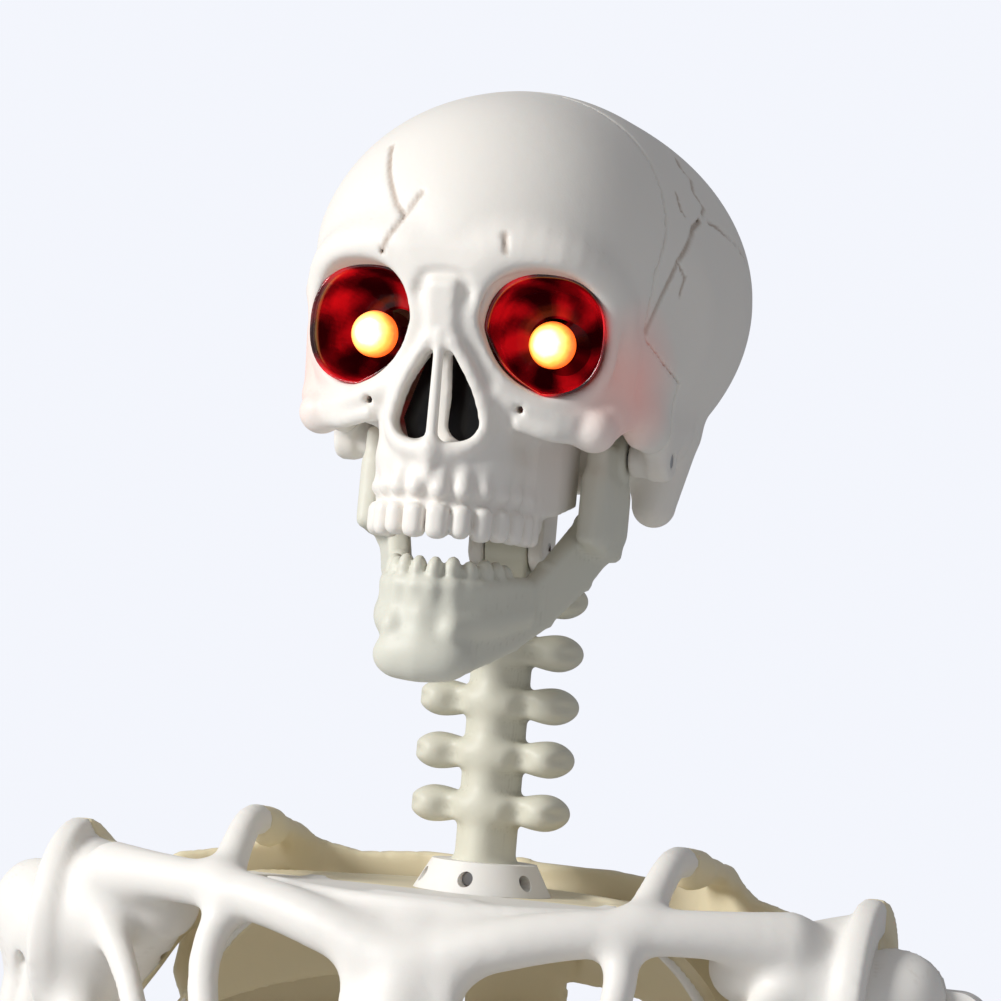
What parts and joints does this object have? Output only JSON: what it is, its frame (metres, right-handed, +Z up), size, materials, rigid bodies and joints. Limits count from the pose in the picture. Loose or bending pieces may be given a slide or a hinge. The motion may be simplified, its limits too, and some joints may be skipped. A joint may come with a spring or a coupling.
{
  "type": "posable skeleton figure",
  "caption": "Life-size posable skeleton figure with lit eyes, a hinged jaw, turning head and jointed spine, arms and legs, hung from a hole in its back.",
  "frame": {"origin": "centre of the mouth of the hanging hole in the boss on the upper back, between the shoulder blades", "axes": "+Z up along the spine; the figure faces -Y and the hanging hole opens towards +Y; +X is the figure's own left"},
  "size_m": [0.4926, 0.2504, 1.653],
  "materials": {
    "bone": "satin moulded plastic",
    "jaw_bone": "satin moulded plastic",
    "cream_bone": "satin moulded plastic",
    "eye_red": "glossy moulded plastic",
    "eye_lens": "frosted, lit from behind",
    "black": "glossy moulded plastic",
    "steel": "plain steel",
    "board": "printed circuit board",
    "cell": "plain jacket",
    "wire": "insulated wire"
  },
  "bodies": {
    "chest": {"chest_front": "bone", "chest_back": "cream_bone", "thoracic_spine": "cream_bone", "neck_collar": "bone", "collar_screws": "steel", "chest_screws": "steel", "waist_pin": "steel"},
    "neck": {"neck_column": "cream_bone", "neck_retainer": "bone"},
    "head": {"skull_front": "bone", "skull_back": "bone", "eye_cup_left": "eye_red", "eye_cup_right": "eye_red", "eye_lens_left": "eye_lens", "eye_lens_right": "eye_lens", "eye_leds": "eye_lens", "nose_insert": "black", "battery_case": "black", "battery_cells": "cell", "battery_door": "bone", "door_screw": "steel", "circuit_board": "board", "eye_wires": "wire", "jaw_pins": "steel", "nod_pin": "steel"},
    "switch": {"switch_knob": "black"},
    "jaw": {"jaw": "jaw_bone"},
    "lumbar": {"lumbar_spine": "cream_bone", "lumbar_retainer": "bone"},
    "pelvis": {"pelvis_front": "bone", "pelvis_back": "bone", "pelvis_screws": "steel"},
    "shoulder_left": {"shoulder_hub_left": "bone"},
    "arm_left": {"upper_arm_left": "bone", "shoulder_pin_left": "steel", "elbow_pin_left": "steel"},
    "forearm_left": {"forearm_left": "bone", "wrist_pin_left": "steel"},
    "hand_left": {"hand_left": "bone"},
    "hip_left": {"hip_hub_left": "bone"},
    "thigh_left": {"thigh_left": "bone", "hip_pin_left": "steel", "knee_pin_left": "steel"},
    "shin_left": {"shin_left": "bone", "ankle_pin_left": "steel"},
    "foot_left": {"foot_left": "bone"},
    "shoulder_right": {"shoulder_hub_right": "bone"},
    "arm_right": {"upper_arm_right": "bone", "shoulder_pin_right": "steel", "elbow_pin_right": "steel"},
    "forearm_right": {"forearm_right": "bone", "wrist_pin_right": "steel"},
    "hand_right": {"hand_right": "bone"},
    "hip_right": {"hip_hub_right": "bone"},
    "thigh_right": {"thigh_right": "bone", "hip_pin_right": "steel", "knee_pin_right": "steel"},
    "shin_right": {"shin_right": "bone", "ankle_pin_right": "steel"},
    "foot_right": {"foot_right": "bone"}
  },
  "joints": [
    {"name": "head_turn", "type": "hinge", "parent": "chest", "child": "neck", "pos_m": [0, -0.082, 0.065], "axis": [0, 0, 1], "range_deg": [-80, 80]},
    {"name": "head_nod", "type": "hinge", "parent": "neck", "child": "head", "pos_m": [0, -0.082, 0.19], "axis": [1, 0, 0], "range_deg": [-25, 15]},
    {"name": "jaw_open", "type": "hinge", "parent": "head", "child": "jaw", "pos_m": [0, -0.102, 0.224], "axis": [1, 0, 0], "range_deg": [-4, 18]},
    {"name": "switch_slide", "type": "slide", "parent": "head", "child": "switch", "axis": [1, 0, 0], "range_m": [0, 0.004]},
    {"name": "waist_bend", "type": "hinge", "parent": "chest", "child": "lumbar", "pos_m": [0, -0.054, -0.212], "axis": [-1, 0, 0], "range_deg": [-12, 30]},
    {"name": "waist_turn", "type": "hinge", "parent": "lumbar", "child": "pelvis", "pos_m": [0, -0.054, -0.328], "axis": [0, 0, 1], "range_deg": [-30, 30]},
    {"name": "shoulder_swing_left", "type": "hinge", "parent": "chest", "child": "shoulder_left", "pos_m": [0.151, -0.104, 0.038], "axis": [-1, 0, 0], "range_deg": [-40, 160]},
    {"name": "shoulder_raise_left", "type": "hinge", "parent": "shoulder_left", "child": "arm_left", "pos_m": [0.18, -0.104, 0.038], "axis": [0, -1, 0], "range_deg": [-5, 95]},
    {"name": "elbow_left", "type": "hinge", "parent": "arm_left", "child": "forearm_left", "pos_m": [0.20822, -0.104, -0.23052], "axis": [-0.9945, 0, -0.1045], "range_deg": [0, 120]},
    {"name": "wrist_left", "type": "hinge", "parent": "forearm_left", "child": "hand_left", "pos_m": [0.23279, -0.104, -0.46423], "axis": [0, -1, 0], "range_deg": [-45, 45]},
    {"name": "hip_swing_left", "type": "hinge", "parent": "pelvis", "child": "hip_left", "pos_m": [0.068, -0.104, -0.45], "axis": [-1, 0, 0], "range_deg": [-20, 95]},
    {"name": "hip_spread_left", "type": "hinge", "parent": "hip_left", "child": "thigh_left", "pos_m": [0.098, -0.104, -0.45], "axis": [0, -1, 0], "range_deg": [-3, 30]},
    {"name": "knee_left", "type": "hinge", "parent": "thigh_left", "child": "shin_left", "pos_m": [0.098, -0.104, -0.848], "axis": [1, 0, 0], "range_deg": [0, 110]},
    {"name": "ankle_left", "type": "hinge", "parent": "shin_left", "child": "foot_left", "pos_m": [0.098, -0.104, -1.225], "axis": [-1, 0, 0], "range_deg": [-30, 20]},
    {"name": "shoulder_swing_right", "type": "hinge", "parent": "chest", "child": "shoulder_right", "pos_m": [-0.151, -0.104, 0.038], "axis": [-1, 0, 0], "range_deg": [-40, 160]},
    {"name": "shoulder_raise_right", "type": "hinge", "parent": "shoulder_right", "child": "arm_right", "pos_m": [-0.18, -0.104, 0.038], "axis": [0, 1, 0], "range_deg": [-5, 95]},
    {"name": "elbow_right", "type": "hinge", "parent": "arm_right", "child": "forearm_right", "pos_m": [-0.20822, -0.104, -0.23052], "axis": [-0.9945, 0, 0.1045], "range_deg": [0, 120]},
    {"name": "wrist_right", "type": "hinge", "parent": "forearm_right", "child": "hand_right", "pos_m": [-0.23279, -0.104, -0.46423], "axis": [0, 1, 0], "range_deg": [-45, 45]},
    {"name": "hip_swing_right", "type": "hinge", "parent": "pelvis", "child": "hip_right", "pos_m": [-0.068, -0.104, -0.45], "axis": [-1, 0, 0], "range_deg": [-20, 95]},
    {"name": "hip_spread_right", "type": "hinge", "parent": "hip_right", "child": "thigh_right", "pos_m": [-0.098, -0.104, -0.45], "axis": [0, 1, 0], "range_deg": [-3, 30]},
    {"name": "knee_right", "type": "hinge", "parent": "thigh_right", "child": "shin_right", "pos_m": [-0.098, -0.104, -0.848], "axis": [1, 0, 0], "range_deg": [0, 110]},
    {"name": "ankle_right", "type": "hinge", "parent": "shin_right", "child": "foot_right", "pos_m": [-0.098, -0.104, -1.225], "axis": [-1, 0, 0], "range_deg": [-30, 20]}
  ]
}
